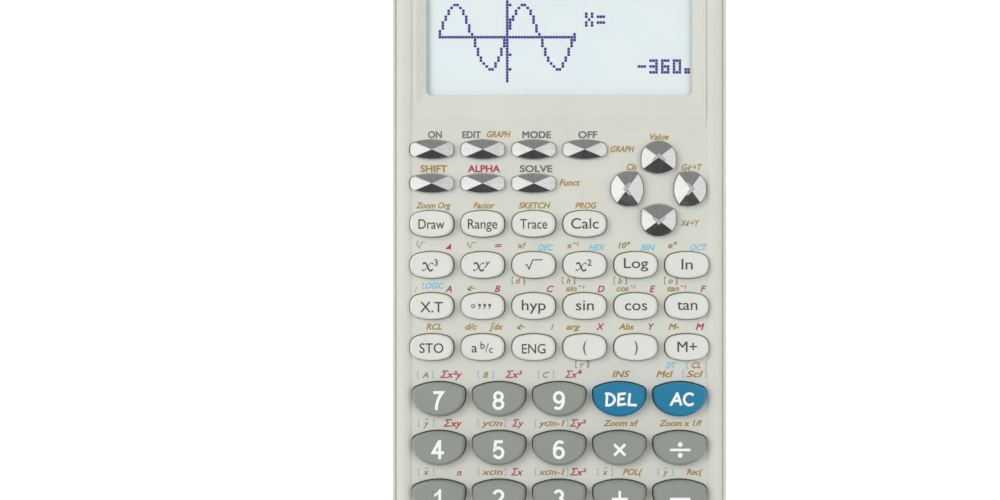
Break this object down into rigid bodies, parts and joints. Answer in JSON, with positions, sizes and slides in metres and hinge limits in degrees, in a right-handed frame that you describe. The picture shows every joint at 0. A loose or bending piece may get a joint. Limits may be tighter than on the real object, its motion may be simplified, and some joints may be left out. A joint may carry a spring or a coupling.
{
  "type": "graphing calculator",
  "caption": "Slim pocket graphing calculator with a dot-matrix display, plated function and cursor keys, dished white keys and half-moon number keys.",
  "frame": {"origin": "middle of the rear face, on the plane that the calculator rests on when it lies on its back", "axes": "+X across the case to the reader's right, +Y towards the display end, +Z out of the key face"},
  "size_m": [0.084, 0.177, 0.0167],
  "materials": {
    "case_plastic": "fine moulded ivory ABS",
    "white_keys": "satin moulded, printed legends",
    "grey_keys": "satin moulded",
    "blue_keys": "satin moulded",
    "plated_keys": "bright plated plastic",
    "window_acrylic": "clear polished",
    "lcd_glass": "reflective twisted-nematic panel",
    "silicone_mat": "matt silicone",
    "board_laminate": "solder-masked glass epoxy",
    "cell_steel": "satin nickel",
    "screw_steel": "zinc plated"
  },
  "bodies": {
    "case": {"front_cover": "case_plastic", "display_window": "window_acrylic", "lcd_panel": "lcd_glass", "key_membrane": "silicone_mat", "circuit_board": "board_laminate", "coin_cells": "cell_steel", "rear_cover": "case_plastic", "case_screws": "screw_steel"},
    "battery_cover": {"battery_cover": "case_plastic"},
    "key_on": {"key_on": "plated_keys"},
    "key_learn": {"key_learn": "plated_keys"},
    "key_mode": {"key_mode": "plated_keys"},
    "key_off": {"key_off": "plated_keys"},
    "key_shift": {"key_shift": "plated_keys"},
    "key_alpha": {"key_alpha": "plated_keys"},
    "key_solve": {"key_solve": "plated_keys"},
    "key_up": {"key_up": "plated_keys"},
    "key_left": {"key_left": "plated_keys"},
    "key_down": {"key_down": "plated_keys"},
    "key_right": {"key_right": "plated_keys"},
    "key_draw": {"key_draw": "white_keys"},
    "key_range": {"key_range": "white_keys"},
    "key_trace": {"key_trace": "white_keys"},
    "key_calculate": {"key_calculate": "white_keys"},
    "key_cube": {"key_cube": "white_keys"},
    "key_power": {"key_power": "white_keys"},
    "key_root": {"key_root": "white_keys"},
    "key_square": {"key_square": "white_keys"},
    "key_log": {"key_log": "white_keys"},
    "key_ln": {"key_ln": "white_keys"},
    "key_variable": {"key_variable": "white_keys"},
    "key_degree": {"key_degree": "white_keys"},
    "key_hyperbolic": {"key_hyperbolic": "white_keys"},
    "key_sine": {"key_sine": "white_keys"},
    "key_cosine": {"key_cosine": "white_keys"},
    "key_tangent": {"key_tangent": "white_keys"},
    "key_store": {"key_store": "white_keys"},
    "key_fraction": {"key_fraction": "white_keys"},
    "key_engineering": {"key_engineering": "white_keys"},
    "key_open_bracket": {"key_open_bracket": "white_keys"},
    "key_close_bracket": {"key_close_bracket": "white_keys"},
    "key_memory_plus": {"key_memory_plus": "white_keys"},
    "key_digit_7": {"key_digit_7": "grey_keys"},
    "key_digit_8": {"key_digit_8": "grey_keys"},
    "key_digit_9": {"key_digit_9": "grey_keys"},
    "key_delete": {"key_delete": "blue_keys"},
    "key_all_clear": {"key_all_clear": "blue_keys"},
    "key_digit_4": {"key_digit_4": "grey_keys"},
    "key_digit_5": {"key_digit_5": "grey_keys"},
    "key_digit_6": {"key_digit_6": "grey_keys"},
    "key_multiply": {"key_multiply": "grey_keys"},
    "key_divide": {"key_divide": "grey_keys"},
    "key_digit_1": {"key_digit_1": "grey_keys"},
    "key_digit_2": {"key_digit_2": "grey_keys"},
    "key_digit_3": {"key_digit_3": "grey_keys"},
    "key_add": {"key_add": "grey_keys"},
    "key_subtract": {"key_subtract": "grey_keys"},
    "key_digit_0": {"key_digit_0": "grey_keys"},
    "key_point": {"key_point": "grey_keys"},
    "keys_exponent_answer_execute": {"keys_exponent_answer_execute": "grey_keys"}
  },
  "joints": [
    {"name": "battery_cover_slide", "type": "slide", "parent": "case", "child": "battery_cover", "axis": [0, 1, 0], "range_m": [0, 0.05]},
    {"name": "press_on", "type": "slide", "parent": "case", "child": "key_on", "axis": [0, 0, -1], "range_m": [0, 0.0009], "stiffness_N_per_m": 900, "springref_m": -0.0004, "deforming": ["key_membrane"]},
    {"name": "press_learn", "type": "slide", "parent": "case", "child": "key_learn", "axis": [0, 0, -1], "range_m": [0, 0.0009], "stiffness_N_per_m": 900, "springref_m": -0.0004, "deforming": ["key_membrane"]},
    {"name": "press_mode", "type": "slide", "parent": "case", "child": "key_mode", "axis": [0, 0, -1], "range_m": [0, 0.0009], "stiffness_N_per_m": 900, "springref_m": -0.0004, "deforming": ["key_membrane"]},
    {"name": "press_off", "type": "slide", "parent": "case", "child": "key_off", "axis": [0, 0, -1], "range_m": [0, 0.0009], "stiffness_N_per_m": 900, "springref_m": -0.0004, "deforming": ["key_membrane"]},
    {"name": "press_shift", "type": "slide", "parent": "case", "child": "key_shift", "axis": [0, 0, -1], "range_m": [0, 0.0009], "stiffness_N_per_m": 900, "springref_m": -0.0004, "deforming": ["key_membrane"]},
    {"name": "press_alpha", "type": "slide", "parent": "case", "child": "key_alpha", "axis": [0, 0, -1], "range_m": [0, 0.0009], "stiffness_N_per_m": 900, "springref_m": -0.0004, "deforming": ["key_membrane"]},
    {"name": "press_solve", "type": "slide", "parent": "case", "child": "key_solve", "axis": [0, 0, -1], "range_m": [0, 0.0009], "stiffness_N_per_m": 900, "springref_m": -0.0004, "deforming": ["key_membrane"]},
    {"name": "press_up", "type": "slide", "parent": "case", "child": "key_up", "axis": [0, 0, -1], "range_m": [0, 0.0009], "stiffness_N_per_m": 900, "springref_m": -0.0004, "deforming": ["key_membrane"]},
    {"name": "press_left", "type": "slide", "parent": "case", "child": "key_left", "axis": [0, 0, -1], "range_m": [0, 0.0009], "stiffness_N_per_m": 900, "springref_m": -0.0004, "deforming": ["key_membrane"]},
    {"name": "press_down", "type": "slide", "parent": "case", "child": "key_down", "axis": [0, 0, -1], "range_m": [0, 0.0009], "stiffness_N_per_m": 900, "springref_m": -0.0004, "deforming": ["key_membrane"]},
    {"name": "press_right", "type": "slide", "parent": "case", "child": "key_right", "axis": [0, 0, -1], "range_m": [0, 0.0009], "stiffness_N_per_m": 900, "springref_m": -0.0004, "deforming": ["key_membrane"]},
    {"name": "press_draw", "type": "slide", "parent": "case", "child": "key_draw", "axis": [0, 0, -1], "range_m": [0, 0.001], "stiffness_N_per_m": 900, "springref_m": -0.0004, "deforming": ["key_membrane"]},
    {"name": "press_range", "type": "slide", "parent": "case", "child": "key_range", "axis": [0, 0, -1], "range_m": [0, 0.001], "stiffness_N_per_m": 900, "springref_m": -0.0004, "deforming": ["key_membrane"]},
    {"name": "press_trace", "type": "slide", "parent": "case", "child": "key_trace", "axis": [0, 0, -1], "range_m": [0, 0.001], "stiffness_N_per_m": 900, "springref_m": -0.0004, "deforming": ["key_membrane"]},
    {"name": "press_calculate", "type": "slide", "parent": "case", "child": "key_calculate", "axis": [0, 0, -1], "range_m": [0, 0.001], "stiffness_N_per_m": 900, "springref_m": -0.0004, "deforming": ["key_membrane"]},
    {"name": "press_cube", "type": "slide", "parent": "case", "child": "key_cube", "axis": [0, 0, -1], "range_m": [0, 0.001], "stiffness_N_per_m": 900, "springref_m": -0.0004, "deforming": ["key_membrane"]},
    {"name": "press_power", "type": "slide", "parent": "case", "child": "key_power", "axis": [0, 0, -1], "range_m": [0, 0.001], "stiffness_N_per_m": 900, "springref_m": -0.0004, "deforming": ["key_membrane"]},
    {"name": "press_root", "type": "slide", "parent": "case", "child": "key_root", "axis": [0, 0, -1], "range_m": [0, 0.001], "stiffness_N_per_m": 900, "springref_m": -0.0004, "deforming": ["key_membrane"]},
    {"name": "press_square", "type": "slide", "parent": "case", "child": "key_square", "axis": [0, 0, -1], "range_m": [0, 0.001], "stiffness_N_per_m": 900, "springref_m": -0.0004, "deforming": ["key_membrane"]},
    {"name": "press_log", "type": "slide", "parent": "case", "child": "key_log", "axis": [0, 0, -1], "range_m": [0, 0.001], "stiffness_N_per_m": 900, "springref_m": -0.0004, "deforming": ["key_membrane"]},
    {"name": "press_ln", "type": "slide", "parent": "case", "child": "key_ln", "axis": [0, 0, -1], "range_m": [0, 0.001], "stiffness_N_per_m": 900, "springref_m": -0.0004, "deforming": ["key_membrane"]},
    {"name": "press_variable", "type": "slide", "parent": "case", "child": "key_variable", "axis": [0, 0, -1], "range_m": [0, 0.001], "stiffness_N_per_m": 900, "springref_m": -0.0004, "deforming": ["key_membrane"]},
    {"name": "press_degree", "type": "slide", "parent": "case", "child": "key_degree", "axis": [0, 0, -1], "range_m": [0, 0.001], "stiffness_N_per_m": 900, "springref_m": -0.0004, "deforming": ["key_membrane"]},
    {"name": "press_hyperbolic", "type": "slide", "parent": "case", "child": "key_hyperbolic", "axis": [0, 0, -1], "range_m": [0, 0.001], "stiffness_N_per_m": 900, "springref_m": -0.0004, "deforming": ["key_membrane"]},
    {"name": "press_sine", "type": "slide", "parent": "case", "child": "key_sine", "axis": [0, 0, -1], "range_m": [0, 0.001], "stiffness_N_per_m": 900, "springref_m": -0.0004, "deforming": ["key_membrane"]},
    {"name": "press_cosine", "type": "slide", "parent": "case", "child": "key_cosine", "axis": [0, 0, -1], "range_m": [0, 0.001], "stiffness_N_per_m": 900, "springref_m": -0.0004, "deforming": ["key_membrane"]},
    {"name": "press_tangent", "type": "slide", "parent": "case", "child": "key_tangent", "axis": [0, 0, -1], "range_m": [0, 0.001], "stiffness_N_per_m": 900, "springref_m": -0.0004, "deforming": ["key_membrane"]},
    {"name": "press_store", "type": "slide", "parent": "case", "child": "key_store", "axis": [0, 0, -1], "range_m": [0, 0.001], "stiffness_N_per_m": 900, "springref_m": -0.0004, "deforming": ["key_membrane"]},
    {"name": "press_fraction", "type": "slide", "parent": "case", "child": "key_fraction", "axis": [0, 0, -1], "range_m": [0, 0.001], "stiffness_N_per_m": 900, "springref_m": -0.0004, "deforming": ["key_membrane"]},
    {"name": "press_engineering", "type": "slide", "parent": "case", "child": "key_engineering", "axis": [0, 0, -1], "range_m": [0, 0.001], "stiffness_N_per_m": 900, "springref_m": -0.0004, "deforming": ["key_membrane"]},
    {"name": "press_open_bracket", "type": "slide", "parent": "case", "child": "key_open_bracket", "axis": [0, 0, -1], "range_m": [0, 0.001], "stiffness_N_per_m": 900, "springref_m": -0.0004, "deforming": ["key_membrane"]},
    {"name": "press_close_bracket", "type": "slide", "parent": "case", "child": "key_close_bracket", "axis": [0, 0, -1], "range_m": [0, 0.001], "stiffness_N_per_m": 900, "springref_m": -0.0004, "deforming": ["key_membrane"]},
    {"name": "press_memory_plus", "type": "slide", "parent": "case", "child": "key_memory_plus", "axis": [0, 0, -1], "range_m": [0, 0.001], "stiffness_N_per_m": 900, "springref_m": -0.0004, "deforming": ["key_membrane"]},
    {"name": "press_digit_7", "type": "slide", "parent": "case", "child": "key_digit_7", "axis": [0, 0, -1], "range_m": [0, 0.001], "stiffness_N_per_m": 900, "springref_m": -0.0004, "deforming": ["key_membrane"]},
    {"name": "press_digit_8", "type": "slide", "parent": "case", "child": "key_digit_8", "axis": [0, 0, -1], "range_m": [0, 0.001], "stiffness_N_per_m": 900, "springref_m": -0.0004, "deforming": ["key_membrane"]},
    {"name": "press_digit_9", "type": "slide", "parent": "case", "child": "key_digit_9", "axis": [0, 0, -1], "range_m": [0, 0.001], "stiffness_N_per_m": 900, "springref_m": -0.0004, "deforming": ["key_membrane"]},
    {"name": "press_delete", "type": "slide", "parent": "case", "child": "key_delete", "axis": [0, 0, -1], "range_m": [0, 0.001], "stiffness_N_per_m": 900, "springref_m": -0.0004, "deforming": ["key_membrane"]},
    {"name": "press_all_clear", "type": "slide", "parent": "case", "child": "key_all_clear", "axis": [0, 0, -1], "range_m": [0, 0.001], "stiffness_N_per_m": 900, "springref_m": -0.0004, "deforming": ["key_membrane"]},
    {"name": "press_digit_4", "type": "slide", "parent": "case", "child": "key_digit_4", "axis": [0, 0, -1], "range_m": [0, 0.001], "stiffness_N_per_m": 900, "springref_m": -0.0004, "deforming": ["key_membrane"]},
    {"name": "press_digit_5", "type": "slide", "parent": "case", "child": "key_digit_5", "axis": [0, 0, -1], "range_m": [0, 0.001], "stiffness_N_per_m": 900, "springref_m": -0.0004, "deforming": ["key_membrane"]},
    {"name": "press_digit_6", "type": "slide", "parent": "case", "child": "key_digit_6", "axis": [0, 0, -1], "range_m": [0, 0.001], "stiffness_N_per_m": 900, "springref_m": -0.0004, "deforming": ["key_membrane"]},
    {"name": "press_multiply", "type": "slide", "parent": "case", "child": "key_multiply", "axis": [0, 0, -1], "range_m": [0, 0.001], "stiffness_N_per_m": 900, "springref_m": -0.0004, "deforming": ["key_membrane"]},
    {"name": "press_divide", "type": "slide", "parent": "case", "child": "key_divide", "axis": [0, 0, -1], "range_m": [0, 0.001], "stiffness_N_per_m": 900, "springref_m": -0.0004, "deforming": ["key_membrane"]},
    {"name": "press_digit_1", "type": "slide", "parent": "case", "child": "key_digit_1", "axis": [0, 0, -1], "range_m": [0, 0.001], "stiffness_N_per_m": 900, "springref_m": -0.0004, "deforming": ["key_membrane"]},
    {"name": "press_digit_2", "type": "slide", "parent": "case", "child": "key_digit_2", "axis": [0, 0, -1], "range_m": [0, 0.001], "stiffness_N_per_m": 900, "springref_m": -0.0004, "deforming": ["key_membrane"]},
    {"name": "press_digit_3", "type": "slide", "parent": "case", "child": "key_digit_3", "axis": [0, 0, -1], "range_m": [0, 0.001], "stiffness_N_per_m": 900, "springref_m": -0.0004, "deforming": ["key_membrane"]},
    {"name": "press_add", "type": "slide", "parent": "case", "child": "key_add", "axis": [0, 0, -1], "range_m": [0, 0.001], "stiffness_N_per_m": 900, "springref_m": -0.0004, "deforming": ["key_membrane"]},
    {"name": "press_subtract", "type": "slide", "parent": "case", "child": "key_subtract", "axis": [0, 0, -1], "range_m": [0, 0.001], "stiffness_N_per_m": 900, "springref_m": -0.0004, "deforming": ["key_membrane"]},
    {"name": "press_digit_0", "type": "slide", "parent": "case", "child": "key_digit_0", "axis": [0, 0, -1], "range_m": [0, 0.001], "stiffness_N_per_m": 900, "springref_m": -0.0004, "deforming": ["key_membrane"]},
    {"name": "press_point", "type": "slide", "parent": "case", "child": "key_point", "axis": [0, 0, -1], "range_m": [0, 0.001], "stiffness_N_per_m": 900, "springref_m": -0.0004, "deforming": ["key_membrane"]},
    {"name": "press_exponent_answer_execute", "type": "slide", "parent": "case", "child": "keys_exponent_answer_execute", "axis": [0, 0, -1], "range_m": [0, 0.001], "stiffness_N_per_m": 900, "springref_m": -0.0004, "deforming": ["key_membrane"]}
  ]
}
